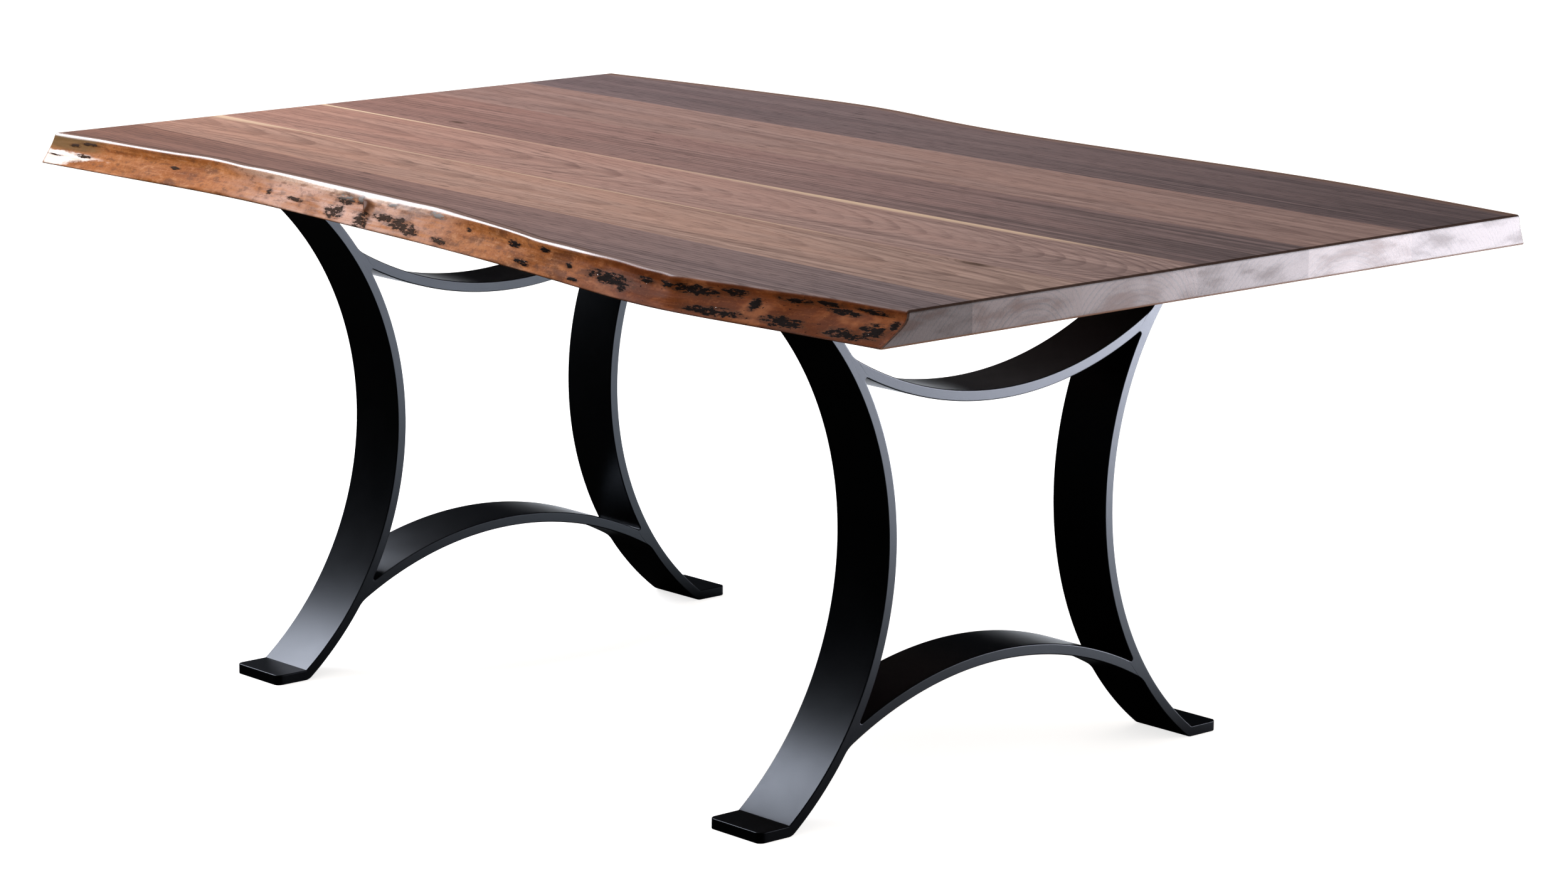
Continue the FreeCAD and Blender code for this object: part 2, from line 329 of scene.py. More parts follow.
def weld_outline(trestle):
    """The outline of one dressed weld in (distance from the middle, height), with the inward direction at
    each point. Two hollows touch the leg's inner face and the rail's upper and lower face. Between them the
    outline runs inside the bars, and each hollow's ends first dip under the face that they touch."""
    leg_mid = np.array([trestle.leg_centre, trestle.mid])
    leg_face = trestle.leg_radius + bar_thick / 2
    rail_mid = np.array([0.0, trestle.rail_centre])
    upper = trestle.rail_radius - bar_thick / 2
    lower = trestle.rail_radius + bar_thick / 2
    angle = math.asin(trestle.reach / trestle.rail_radius)
    meet = rail_mid + trestle.rail_radius * np.array([math.sin(angle), -math.cos(angle)])
    parts, inward = [], []
    for hollow, face, sign in ((open_hollow, upper, -1.0), (notch_hollow, lower, 1.0)):
        middle = two_circles(leg_mid, leg_face + hollow, rail_mid, face + sign * hollow, meet)
        on_leg = leg_mid + leg_face * toward(leg_mid, middle)
        on_rail = rail_mid + face * toward(rail_mid, middle)
        points, unit = arc(middle, on_leg, on_rail, hollow_steps)
        tangent = np.stack([toward(points[0], points[1]), toward(points[-1], points[-2])])
        dips = points[[0, -1]] - weld_run * tangent + weld_dip * unit[[0, -1]]
        parts.append(np.concatenate([dips[:1], points, dips[1:]]))
        inward.append(np.concatenate([unit[:1], unit, unit[-1:]]))
    deep = leg_face - weld_bury
    starts = [leg_mid + deep * toward(leg_mid, p[0]) for p in parts]
    buried, _ = arc(leg_mid, starts[1], starts[0], buried_steps)
    outline = np.concatenate([parts[0], parts[1][::-1], buried])
    direction = np.concatenate([inward[0], inward[1][::-1], np.zeros_like(buried)])
    return outline, direction


def welds(name, trestle, upward):
    """A rail's two dressed welds: the outline carried across the bar, drawn in at both sides by a round."""
    outline, inward = weld_outline(trestle)
    steps = round_steps(bar_edge, corner_steps)
    half = trestle.half + joint_lap
    inner = half - bar_edge - bar_support
    x = np.concatenate([-half + steps, [-inner], [inner], half - steps[::-1]])
    back = round_in(half - np.abs(x), bar_edge)
    ring = outline[None] + back[:, None, None] * inward[None]
    both = []
    for facing in (1.0, -1.0):
        y = trestle.y + facing * ring[..., 0]
        z = ring[..., 1] if upward > 0 else 2 * trestle.mid - ring[..., 1]
        both.append(outward(np.stack([np.broadcast_to((trestle.x + x)[:, None], y.shape), y, z], axis=-1)))
    piece = tubes(name + "_dressed", both)
    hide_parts(name)
    return piece


# Boards with a live edge


def board_corners(node):
    """A CAD board's vertices as an array."""
    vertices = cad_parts[node].data.vertices
    corners = np.empty(len(vertices) * 3, np.float32)
    vertices.foreach_get("co", corners)
    return corners.reshape(-1, 3).astype(float)


def live_line(node, height, facing, stations):
    """y of a CAD board's live edge at one height, at each station along it: the outermost corners at that
    height, joined by straight lines, read at every millimetre and eased by a moving mean 40 mm long."""
    corners = board_corners(node)
    edge = (facing * corners[:, 1]).max()
    rim = corners[(np.abs(corners[:, 2] - height) < 1e-5) & (facing * corners[:, 1] > edge - live_depth)]
    rim = rim[np.argsort(rim[:, 0])]
    even = np.linspace(stations[0], stations[-1], 1830)
    line = np.interp(even, rim[:, 0], rim[:, 1])
    beyond = 20
    mean = np.full(2 * beyond + 1, 1 / (2 * beyond + 1))
    padded = np.concatenate([np.full(beyond, line[0]), line, np.full(beyond, line[-1])])
    return np.interp(stations, even, np.convolve(padded, mean, "valid"))


def joint_line(node, facing, stations):
    """y of a CAD board's glue joint at each station: a straight line between its two sawn ends."""
    corners = board_corners(node)
    ends = [corners[np.abs(corners[:, 0] - x) < 1e-5, 1] for x in (stations[0], stations[-1])]
    at = [(facing * end).min() * facing for end in ends]
    return np.interp(stations, [stations[0], stations[-1]], at)


def flakes(x, drop, spots):
    """Bark left on the edge: the greatest over the spots of 1 - (distance in flake lengths and heights)
    squared, brought to run from 0 to 0.75, with the bark's outline where it is a half."""
    spots = np.array(spots)
    dx = (x[None] - spots[:, 0, None, None]) / spots[:, 2, None, None]
    dz = (drop[None] - spots[:, 1, None, None]) / spots[:, 3, None, None] - 0.15 * dx
    field = (1 - dx**2 - dz**2).max(axis=0)
    return np.clip(0.5 + 0.25 * field, 0.0, 1.0)


def edge_stations(low, high, count):
    """Places along a board: close together in the round at each sawn end and even between them."""
    start = round_steps(end_roll, end_steps)
    along = np.linspace(low.x + end_margin, high.x - end_margin, count)
    return np.concatenate([low.x + start, along, high.x - start[::-1]])


def edge_section(thick, width, knee, radius):
    """A live edge without its relief: drops from the top arris, and how far out the edge is at each drop.
    It goes out by width x share. The share follows drop at a gentle knee, log(1 + e^(k(d - d0))) scaled to
    run from 0 to 1, blended with a straight slope; knee holds the blend and d0 along the board. Quarter
    rounds ease the arris and the foot."""
    drop = np.concatenate(
        [
            round_steps(arris_roll, arris_steps),
            np.linspace(arris_roll, thick - foot_roll, face_steps)[1:-1],
            thick - round_steps(foot_roll, corner_steps)[::-1],
        ]
    )
    share = drop / thick
    blend, bend_at = (value[:, None] for value in knee)
    soft = np.log1p(np.exp(knee_sharpness * (share - bend_at)))
    bowed = (soft - soft[:, :1]) / (soft[:, -1:] - soft[:, :1])
    out = width[:, None] * (blend * bowed + (1 - blend) * share)
    return drop, out - round_in(drop[None], radius) - round_in(thick - drop, foot_roll)


def edge_relief(x, down, free, spots, stub, seed):
    """What stands proud of a live edge, where free lets it: rolling swells with ripples, fibres and crusty
    bark, plus a branch stub, a shell that leans along the edge beside a cleft. Also gives the shares of
    bark and of knot."""
    sizes = (swell_size, ripple_size, fibre_size, crust_size)
    swell, ripple, fibre, crust = (
        lumps(x / long, down / high, seed + step) for step, (long, high) in enumerate(sizes, start=3)
    )
    bark = flakes(x, down, spots) * ease(*bark_fade, down)
    rolling = swell - 0.5 + 0.5 * (ripple - 0.5)
    laid = ease(0.45, 0.75, bark) * (bark_relief + crust_relief * crust)
    relief = free * (swell_relief * rolling + fibre_relief * (fibre - 0.5) + laid)
    knot = np.zeros_like(relief)
    for middle, height, size, proud in stub:
        aside = x - middle - stub_lean * (down - height)
        shell = ease(0.0, 0.4 * size, aside) * hill(aside, 0.0, 2.0 * size)
        shell = shell * hill(down + 0.35 * aside, height + 0.1 * size, 0.9 * size)
        # The cleft counts as bark, so it is painted near black: painted shade in its hollow.
        cleft = hill(aside, -0.1 * size, 0.35 * size) * hill(down, height + 1.0 * size, 1.3 * size)
        relief = relief + free * (proud * ease(0.10, 0.80, shell) - 0.4 * proud * cleft)
        knot = knot + shell
        bark = np.maximum(bark, cleft)
    return relief, bark, np.clip(knot, 0.0, 1.0)


def edge_values(drop, thick, radius, bark, knot):
    """Named numbers on a live edge board's points. On the edge these are bark, knot, live (0 at the arris and
    1 past it), arris (a bell curve on its round) and fall (the share of the drop). The rim rises from 0 to 1
    over the top's insets. Each section has points before the edge and after it."""
    before, after = 2 + len(top_insets), 5
    on_edge = {
        "bark": bark,
        "live": ease(0.05 * radius, 0.6 * radius, drop[None]),
        "knot": knot,
        "arris": hill(drop[None], 0.35 * radius, 0.5 * radius),
        "fall": np.broadcast_to(drop[None] / thick, bark.shape),
    }
    values = {label: np.pad(numbers, ((0, 0), (before, after))) for label, numbers in on_edge.items()}
    rim = np.concatenate([[0.0, 0.0], 1.0 - top_insets / top_insets[0], np.ones(len(drop) + after)])
    values["rim"] = np.broadcast_to(rim[None], (len(bark), len(rim)))
    return values


def live_board(node, facing, count, swells, spots, stub, knee, roll, seed):
    """A board with a live edge: one closed section at each station along the board. The edge's relief is
    laid on along the section's own normal, and quarter rounds ease the sawn ends. knee and roll give the
    section's bend and the radius of the arris along the board."""
    low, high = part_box(node)
    thick = high.z - low.z
    stations = edge_stations(low, high, count)
    depth = np.minimum(stations - low.x, high.x - stations)
    rim = live_line(node, high.z, facing, stations)
    for middle, half_width, swell in swells:
        rim = rim + facing * swell * hill(stations, middle, half_width)
    width = facing * (live_line(node, low.z, facing, stations) - rim)
    radius = roll(stations)[:, None]
    drop, out = edge_section(thick, width, knee(stations), radius)

    x, down = np.broadcast_arrays(stations[:, None], drop[None])
    free = ease(0.0, relief_fade, down) * ease(0.0, foot_fade, thick - down)
    free = free * ease(0.0, relief_fade, depth)[:, None]
    relief, bark, knot = edge_relief(x, down, free, spots, stub, seed)
    d_out, d_drop = np.gradient(out, axis=1), np.gradient(drop)[None]
    length = np.hypot(d_out, d_drop)
    out = out + relief * d_drop / length
    down = down - relief * d_out / length

    back = round_in(depth, end_roll)[:, None]
    edge_y = np.clip(rim[:, None] + facing * (out - back), low.y, high.y)
    edge_z = high.z - np.maximum(down, back)
    joint = joint_line(node, facing, stations)[:, None]
    flat = rim[:, None] - facing * (top_insets[None] + back)
    top = np.full_like(joint, high.z) - back
    over = np.repeat(top, len(top_insets), axis=1)
    under = np.full_like(joint, low.z)
    beside = joint + facing * row_gap
    foot_in = edge_y[:, -1:] - facing * row_gap
    y = np.concatenate([joint, beside, flat, edge_y, foot_in, beside, joint, joint, joint], axis=1)
    z = np.concatenate([top, top, over, edge_z, under, under, under, under + row_gap, top - row_gap], axis=1)
    rings = np.stack([np.broadcast_to(stations[:, None], y.shape), y, z], axis=-1)
    values = edge_values(drop, thick, radius, bark, knot)
    turned = outward(rings)
    if not np.array_equal(turned[0], rings[0]):
        values = {label: numbers[:, ::-1] for label, numbers in values.items()}
    piece = tubes(node + "_wood", [turned], values)
    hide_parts(node)
    return piece


# Materials


class Socket:
    """One output in a node tree. Operators add Math nodes, and add() puts in any other node."""

    def __init__(self, tree, output=None):
        self.tree = tree
        self.output = output

    def add(self, kind, settings=None, inputs=None, output=0):
        """Adds a node: settings first, then each input's value or link. Returns the chosen output."""
        node = self.tree.nodes.new(kind)
        for name, value in (settings or {}).items():
            setattr(node, name, value)
        for name, value in (inputs or {}).items():
            if isinstance(value, Socket):
                self.tree.links.new(value.output, node.inputs[name])
            else:
                node.inputs[name].default_value = value
        return Socket(self.tree, node.outputs[output]) if len(node.outputs) else None

    def split(self, kind, outputs, inputs=None):
        """Adds a node and returns several of its outputs."""
        node = self.add(kind, None, inputs).output.node
        return [Socket(self.tree, node.outputs[name]) for name in outputs]

    def math(self, operation, *values):
        """A Math node on values or sockets."""
        return self.add("ShaderNodeMath", {"operation": operation}, dict(enumerate(values)))

    def __add__(self, other):
        return self.math("ADD", self, other)

    def __radd__(self, other):
        return self.math("ADD", other, self)

    def __sub__(self, other):
        return self.math("SUBTRACT", self, other)

    def __rsub__(self, other):
        return self.math("SUBTRACT", other, self)

    def __mul__(self, other):
        return self.math("MULTIPLY", self, other)

    def __rmul__(self, other):
        return self.math("MULTIPLY", other, self)

    def __truediv__(self, other):
        return self.math("DIVIDE", self, other)

    def __pow__(self, other):
        return self.math("POWER", self, other)

    def greater(self, other):
        """The greater of two values."""
        return self.math("MAXIMUM", self, other)

    def ease(self, low, high):
        """0 before low, 1 past high and smooth between; high may be the smaller of the two."""
        settings = {"interpolation_type": "SMOOTHSTEP"}
        return self.add("ShaderNodeMapRange", settings, {"Value": self, "From Min": low, "From Max": high})

    def mix(self, first, second):
        """A colour that goes from first to second as this value goes from 0 to 1."""
        settings = {"data_type": "RGBA", "clamp_factor": True}
        return self.add("ShaderNodeMix", settings, {0: self, 6: rgba(first), 7: rgba(second)}, output=2)

    def curve(self, points):
        """A value read off straight lines between (place, value) points, level before and after them."""
        result = points[0][1]
        for (before, low), (after, high) in zip(points, points[1:]):
            inputs = {"Value": self, "From Min": before, "From Max": after, "To Max": high - low}
            result = self.add("ShaderNodeMapRange", None, inputs) + result
        return result

    def times(self, scale):
        """A vector with each part multiplied."""
        return self.add("ShaderNodeVectorMath", {"operation": "MULTIPLY"}, {0: self, 1: scale})

    def noise(self, scale, detail=2.0, roughness=0.5):
        """Noise of a vector, with its grains per metre along each axis."""
        inputs = {"Vector": self.times(scale), "Scale": 1.0, "Detail": detail, "Roughness": roughness}
        return self.add("ShaderNodeTexNoise", None, inputs)

    def vector(self, x, y, z):
        """A vector from three values."""
        return self.add("ShaderNodeCombineXYZ", None, {0: x, 1: y, 2: z})

    def value(self, name):
        """A number stored on the piece's points."""
        return self.add("ShaderNodeAttribute", {"attribute_name": name}, None, output="Fac")


def rgba(colour):
    """A colour as four numbers, or a socket as it is."""
    return colour if isinstance(colour, Socket) else (*colour, 1.0)


def finish(name, roughness=0.5, metallic=0.0, specular=0.5):
    """A new material, its Principled shader and the place of each point, to start from."""
    material = bpy.data.materials.new(name)
    material.use_nodes = True
    shader = material.node_tree.nodes["Principled BSDF"]
    shader.inputs["Roughness"].default_value = roughness
    shader.inputs["Metallic"].default_value = metallic
    shader.inputs["Specular IOR Level"].default_value = specular
    return material, shader, Socket(material.node_tree).add("ShaderNodeTexCoord", output="Object")


def feed(shader, **links):
    """Links sockets to the shader's inputs; an underscore in a name stands for a space."""
    for name, socket in links.items():
        socket.tree.links.new(socket.output, shader.inputs[name.replace("_", " ")])


def oval(wood, middle_x, middle_y, reach_x, reach_y):
    """1 at a place on the top, falling evenly to 0 on an oval round it and below 0 outside."""
    along, aside = (wood.x - middle_x) / reach_x, (wood.y - middle_y) / reach_y
    return 1 - (along * along + aside * aside) ** 0.5


def wood_grain(place, grain):
    """The wood at each point of a board. Years are distances from the tree's heart line, which runs along
    the board below or above its top, bent by slow noise and by knots: they show as loops on the top and as
    arcs on the sawn ends, and each closes in a dark late band. Streaks, lines, hairs and pores lie along
    the grain."""
    x, y, z = place.split("ShaderNodeSeparateXYZ", range(3), {0: place})
    wood = SimpleNamespace(place=place, x=x, y=y, z=z)
    across = y - (grain["middle"] + grain["lean"] * x)
    fibre = place.vector(x, across, z)
    sway = fibre.noise((0.9, 5.0, 5.0), 2.0) - 0.5
    shiver = fibre.noise((5.0, 40.0, 40.0), 3.0) - 0.5
    side = across - grain["heart"] + 0.05 * sway
    deep = z - grain["depth"]
    eye = x - grain["eye"]
    spread = (side * side + deep * deep) ** 0.5 + grain["taper"] * x + grain["bow"] * (eye * eye)
    years = (spread + 0.02 * sway + 0.003 * shiver) / grain["year"]
    for knot_x, knot_y, size in grain["knots"]:
        years = years + 3.0 * oval(wood, knot_x, knot_y, 2.2 * size, size).ease(0.0, 1.0)
    year = years.math("FRACT", years)
    wood.late = year.ease(0.45, 0.90) * (1 - year.ease(0.92, 1.0))
    wood.strong = place.vector(years * 0.23, 0.0, 0.0).noise((1.0, 1.0, 1.0), 1.0).ease(0.3, 0.7)
    wood.streak = fibre.noise((0.7, 48.0, 48.0), 4.0, 0.62)
    wood.line = fibre.noise((3.0, 150.0, 150.0), 3.0, 0.6)
    wood.hair = fibre.noise((12.0, 420.0, 420.0), 2.0, 0.6)
    wood.pores = fibre.noise((26.0, 520.0, 520.0), 1.0).ease(0.59, 0.68)
    wood.cloud = fibre.noise((1.8, 12.0, 12.0), 3.0, 0.6).ease(0.36, 0.66)
    end_gap = half_length - x.math("ABSOLUTE", x)
    rolled = end_gap.ease(0.0040, 0.0028)
    wood.sawn = end_gap.ease(0.0022, 0.0008)
    wood.lip = rolled * (top - z).ease(0.0050, 0.0030)
    wood.sill = rolled * (z - underside).ease(0.0030, 0.0012)
    return wood


def planed_colour(wood, grain):
    """A planed face: pale to dark by the late bands and the streaks, with painted shade darker to the left
    and right, warmer in clouds, with a painted light tint redder to the left and bluer to the right, then
    pores, knots and sapwood at a joint."""
    x = wood.x
    lines = 1.3 * (wood.streak - 0.5) + 0.6 * (wood.line - 0.5) + 0.4 * (wood.hair - 0.5)
    shade = grain["figure"] * wood.late * (0.3 + 0.7 * wood.strong) + grain["streaks"] * lines
    # Painted shade: the face darkens from the middle toward each end, as the light falls off.
    left, right = grain["painted_falloff"]
    shade = shade + 0.42 + right * x.greater(0.0) - left * x.math("MINIMUM", x, 0.0)
    colour = shade.ease(0.0, 1.0).mix(grain["pale"], grain["dark"])
    colour = (0.55 * wood.cloud).mix(colour, grain["warm"])
    # Painted light tint: redder to the left and bluer to the right, as warm and cool light would make it.
    light_tint = grain["painted_tint"] * x
    colour = colour.times(wood.place.vector(1.0, 1 + 0.22 * light_tint, 1 + 0.38 * light_tint))
    colour = (0.55 * wood.pores).mix(colour, [0.45 * part for part in grain["dark"]])
    for knot_x, knot_y, size in grain["knots"]:
        heart = oval(wood, knot_x, knot_y, 1.5 * size, 0.45 * size).ease(0.0, 0.8)
        colour = (0.75 * heart).mix(colour, knot_brown)
    for band in grain["sap"]:
        inside = band["joint"] + band["lean"] * x - wood.y + 0.010 * (wood.streak - 0.5)
        width = x.curve(band["widths"]) * 0.02 + 0.0004
        colour = ((1 - inside / width).ease(0.0, 0.7) * x.curve(band["strengths"])).mix(colour, cream)
    return colour


def sawn_colour(wood, grain):
    """A sawn end: faint arcs of years, open-pored specks and browner patches, which it gives as well."""
    ends = wood.place.vector(0.0, wood.y, wood.z)
    patch = ends.noise((1.0, 9.0, 30.0), 3.0, 0.6)
    speck = ends.noise((1.0, 420.0, 420.0), 2.0, 0.6)
    shade = 0.50 * wood.late * (0.2 + wood.strong) + 1.3 * (speck - 0.5) + 1.4 * (patch - 0.5) + 0.25
    colour = shade.ease(0.0, 1.0).mix(grain["cut"], [0.35 * part for part in grain["cut"]])
    return (0.7 * patch.ease(0.50, 0.68)).mix(colour, grain["heartwood"]), patch


def live_edge(wood, live):
    """A live edge at each point: the values stored on the board, noises on a ribbon as long and as high as
    the edge, the bark and its stain, and how the bare wood changes from the left end to the right: where
    painted haze and a painted glare patch lie, and how lit the arris looks."""
    place, x = wood.place, wood.x
    bark = place.value("bark")
    edge = SimpleNamespace(**{label: place.value(label) for label in ("knot", "fall", "rim", "arris")})
    edge.mask = place.value("live") * (1 - wood.sawn)
    ribbon = place.vector(x, edge.fall * (top - underside), 0.0)
    edge.flow = ribbon.noise((7.0, 130.0, 1.0), 4.0, 0.6)
    edge.blotch = ribbon.noise((13.0, 50.0, 1.0), 3.0, 0.55)
    edge.torn = ribbon.noise((75.0, 330.0, 1.0), 5.0, 0.68)
    edge.mottle = ribbon.noise((55.0, 140.0, 1.0), 4.0, 0.65)
    edge.cloudy = ribbon.noise((11.0, 34.0, 1.0), 3.0, 0.6)
    edge.grit = ribbon.noise((240.0, 420.0, 1.0), 3.0, 0.7)
    edge.scratch = ribbon.noise((10.0, 560.0, 1.0), 2.0, 0.6)
    specks = ribbon.noise((120.0, 430.0, 1.0), 2.0, 0.6)
    sparks = ribbon.noise((150.0, 420.0, 1.0), 1.0)

    edge.lay = bark + (0.8 + 2.6 * bark) * (edge.torn - 0.5)
    edge.stain = edge.lay.ease(0.12, 0.52)
    edge.bark = edge.lay.ease(0.50, 0.55).greater((specks + 0.05 * x).ease(0.715, 0.735))
    edge.glint = edge.stain * sparks.ease(0.77, 0.80)

    # Painted haze over the left middle of the edge: a pink haze by flow and blotches, and a paler haze under
    # the arris.
    haze_zone = x.ease(*live["haze_from"]) * (1 - x.ease(*live["haze_to"]))
    edge.blush = haze_zone * (1 - edge.fall.ease(0.10, 0.34)) * (0.4 + edge.flow)
    edge.bloom = haze_zone * (edge.flow + edge.blotch).ease(0.75, 1.15)
    edge.deeper = 0.95 * x.ease(*live["deep_from"])
    # How lit the arris looks: it fades to the right where the arris highlight ends, and scales the painted
    # highlight band, the painted shade line and the arris coat.
    edge.bright = (1 - wood.sawn) * (1 - live["highlight_fade"] * x.ease(*live["highlight_fade_from"]))
    edge.ledge = live["ledge"] * (1 - (x + 0.10 * (edge.mottle - 0.5)).ease(*live["ledge_to"]))
    # A painted glare: a pale patch low on the left end, where a reflection of the key light would fall; it
    # also takes coat.
    taper = x.ease(*live["wet_taper"])
    wave = edge.fall + 0.30 * (edge.blotch - 0.5) + 0.25 * (edge.mottle - 0.5)
    below = (wave - 0.10 * taper).ease(0.46, 0.56)
    above = 1 - (wave + 0.28 * taper).ease(0.88, 1.00)
    edge.wet = edge.ledge * below * above * x.ease(*live["wet_from"])
    return edge


def live_colour(wood, edge, live):
    """Bare sapwood with bark. From amber flow lines it takes a painted pink haze and a paler painted haze
    under the arris, then deeper to the right, under shadows, mottle, grit and scratches. The left end has a
    dull ledge over a pale patch of painted glare. Stains, the stub and a painted shade line along the foot
    follow, then
    bark: black, browner inside to the left, with painted grey haze near the arris."""
    x, fall, deeper = wood.x, edge.fall, edge.deeper
    skin = edge.flow.ease(0.35, 0.65).mix(live["pale"], live["dark"])
    nicks = edge.grit.ease(0.46, 0.30) + edge.scratch.ease(0.62, 0.72)
    for share, paint in (
        (0.8 * edge.blotch.ease(0.42, 0.68), "amber"),
        # Painted haze: pink over the left middle, paler under the arris.
        (0.85 * edge.bloom, "bloom"),
        (0.8 * edge.blush, "blush"),
        (deeper * (0.74 + 1.1 * (edge.blotch - 0.5)), "deep"),
        (0.60 * (edge.cloudy + 0.10 * x).ease(0.51, 0.62), "shadow"),
        (0.45 * deeper * (1 - edge.cloudy.ease(0.36, 0.48)), "tan"),
        (0.60 * edge.mottle.ease(0.50, 0.66), "stub"),
        (edge.mottle.ease(0.48, 0.30) * (0.6 - 0.45 * deeper), "fleck"),
        (0.40 * edge.grit.ease(0.54, 0.70), "stub"),
        (nicks * (0.4 - 0.3 * deeper), "fleck"),
    ):
        skin = share.mix(skin, live[paint])
    skin = deeper.mix(skin, skin.times(live["ripe"]))
    for share, paint in (
        (edge.ledge * (1 - fall.ease(0.35, 0.60)) * (0.55 + 0.5 * edge.flow), "dull"),
        # Painted glare on the left end's pale patch.
        (0.92 * edge.wet, "wet"),
        ((0.55 + 0.30 * deeper) * edge.stain, "shadow"),
        (0.95 * edge.knot.ease(0.20, 0.6), "shadow"),
        # Painted shade: a dark line along the foot, where the edge turns under.
        (0.75 * fall.ease(0.93, 0.99), "foot"),
    ):
        skin = share.mix(skin, live[paint])

    inner = edge.lay.ease(0.54, 0.66) * (1 - 0.92 * x.ease(*live["black_from"])) * (0.2 + edge.torn)
    # Painted haze on bark: grey near the arris in the left middle, where the haze falls.
    hazed_bark = live["ledge"] * x.ease(*live["hazed_bark_from"]) * (1 - x.ease(*live["hazed_bark_to"]))
    crust = inner.mix(live["black"], live["brown"])
    crust = (hazed_bark * (1 - fall.ease(0.22, 0.36))).mix(crust, live["hazed_bark"])
    return (0.9 * edge.glint).mix(edge.bark.mix(skin, crust), live["glint"])


def walnut(name, grain, live=None):
    """Oiled walnut, solid through the board: planed faces, and sawn ends with more sheen, a dark line along
    the top and a brown one along the bottom. The underside has no coat. A live edge has a painted highlight
    band along its rim and a painted shade line beside it, both as strong as the arris looks lit."""
    material, shader, place = finish(name, specular=0.03)
    shader.inputs["Coat IOR"].default_value = 1.75
    shader.inputs["Coat Roughness"].default_value = 0.30
    wood = wood_grain(place, grain)
    end_colour, patch = sawn_colour(wood, grain)
    colour = wood.sawn.mix(planed_colour(wood, grain), end_colour)
    colour = (0.85 * wood.lip).mix(colour, lip_brown)
    colour = (0.85 * wood.sill).mix(colour, sill_brown)
    rough = 0.40 + 0.10 * (wood.streak - 0.5) + 0.10 * wood.pores
    height = 0.5 * wood.hair - 0.9 * wood.pores - 0.35 * wood.late
    coat = 0.10 + wood.sawn * (grain["sheen"] - 0.22 * patch.ease(0.42, 0.66)) - 0.10 * wood.lip
    coat = coat * (1 - 0.8 * wood.sill) * (wood.z - underside).ease(0.0, 0.001)
    if live:
        edge = live_edge(wood, live)
        flat = 1 - edge.mask
        # Painted light beside the arris: a pale painted highlight band on the rim and a dark painted shade
        # line inside it.
        painted_shade_line = edge.rim.ease(0.56, 0.62) * (1 - edge.rim.ease(0.66, 0.72))
        colour = (flat * edge.bright * edge.rim.ease(*live["rim"]) * 0.5).mix(colour, live["band"])
        colour = (flat * edge.bright * painted_shade_line * 0.7).mix(colour, live["painted_shade_line"])
        colour = edge.mask.mix(colour, live_colour(wood, edge, live))
        rough = rough + edge.mask * (0.55 + 0.25 * edge.bark - rough)
        # The coat follows the painted haze and the painted glare.
        sheen = 0.10 * edge.bloom + 0.45 * edge.wet + 0.25 * edge.blush
        coat = (coat * flat).greater(edge.arris * edge.bright).greater(edge.mask * (1 - edge.bark) * sheen)
        height = height * flat + edge.mask * (edge.flow + 1.5 * edge.bark * edge.torn)
    bump = place.add("ShaderNodeBump", None, {"Strength": 0.35, "Distance": 0.0004, "Height": height})
    feed(shader, Base_Color=colour, Roughness=rough, Coat_Weight=coat, Normal=bump)
    return material


def powder_coat(name):
    """Black powder coat on steel: near black, with a fine pebble, faint marks and greyer rubbed patches."""
    material, shader, place = finish(name, specular=0.68)
    shader.inputs["Specular Tint"].default_value = (0.80, 0.89, 1.0, 1.0)
    marks = place.noise((14.0, 14.0, 14.0), 4.0, 0.65)
    pebble = place.noise((900.0, 900.0, 900.0), 2.0)
    colour = marks.ease(0.35, 0.75).mix((0.0003, 0.0003, 0.0004), (0.0008, 0.0009, 0.0011))
    rough = 0.33 + 0.10 * (marks - 0.5) + 0.06 * (pebble - 0.5)
    bump = place.add("ShaderNodeBump", None, {"Strength": 0.22, "Distance": 0.0002, "Height": pebble})
    feed(shader, Base_Color=colour, Roughness=rough, Normal=bump)
    return material


def zinc(name):
    """Zinc-plated steel: bluish metal with cloudy crystals and fine turning marks."""
    material, shader, place = finish(name, metallic=1.0)
    crystals = place.noise((420.0, 420.0, 420.0), 3.0, 0.6)
    turning = place.noise((60.0, 60.0, 2600.0), 2.0)
    colour = crystals.ease(0.3, 0.7).mix((0.42, 0.44, 0.47), (0.62, 0.63, 0.64))
    rough = 0.30 + 0.22 * (crystals - 0.5) + 0.06 * turning
    bump = place.add("ShaderNodeBump", None, {"Strength": 0.15, "Distance": 0.0001, "Height": turning})
    feed(shader, Base_Color=colour, Roughness=rough, Normal=bump)
    return material


def dress(piece, material):
    """Gives a piece its material."""
    piece.data.materials.clear()
    piece.data.materials.append(material)


board_low, board_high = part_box("front_live_edge_board")
top, underside, half_length = board_high.z, board_low.z, board_high.x
cream = (0.56, 0.42, 0.29)
knot_brown = (0.05, 0.028, 0.018)
lip_brown = (0.030, 0.015, 0.010)
sill_brown = (0.200, 0.095, 0.048)

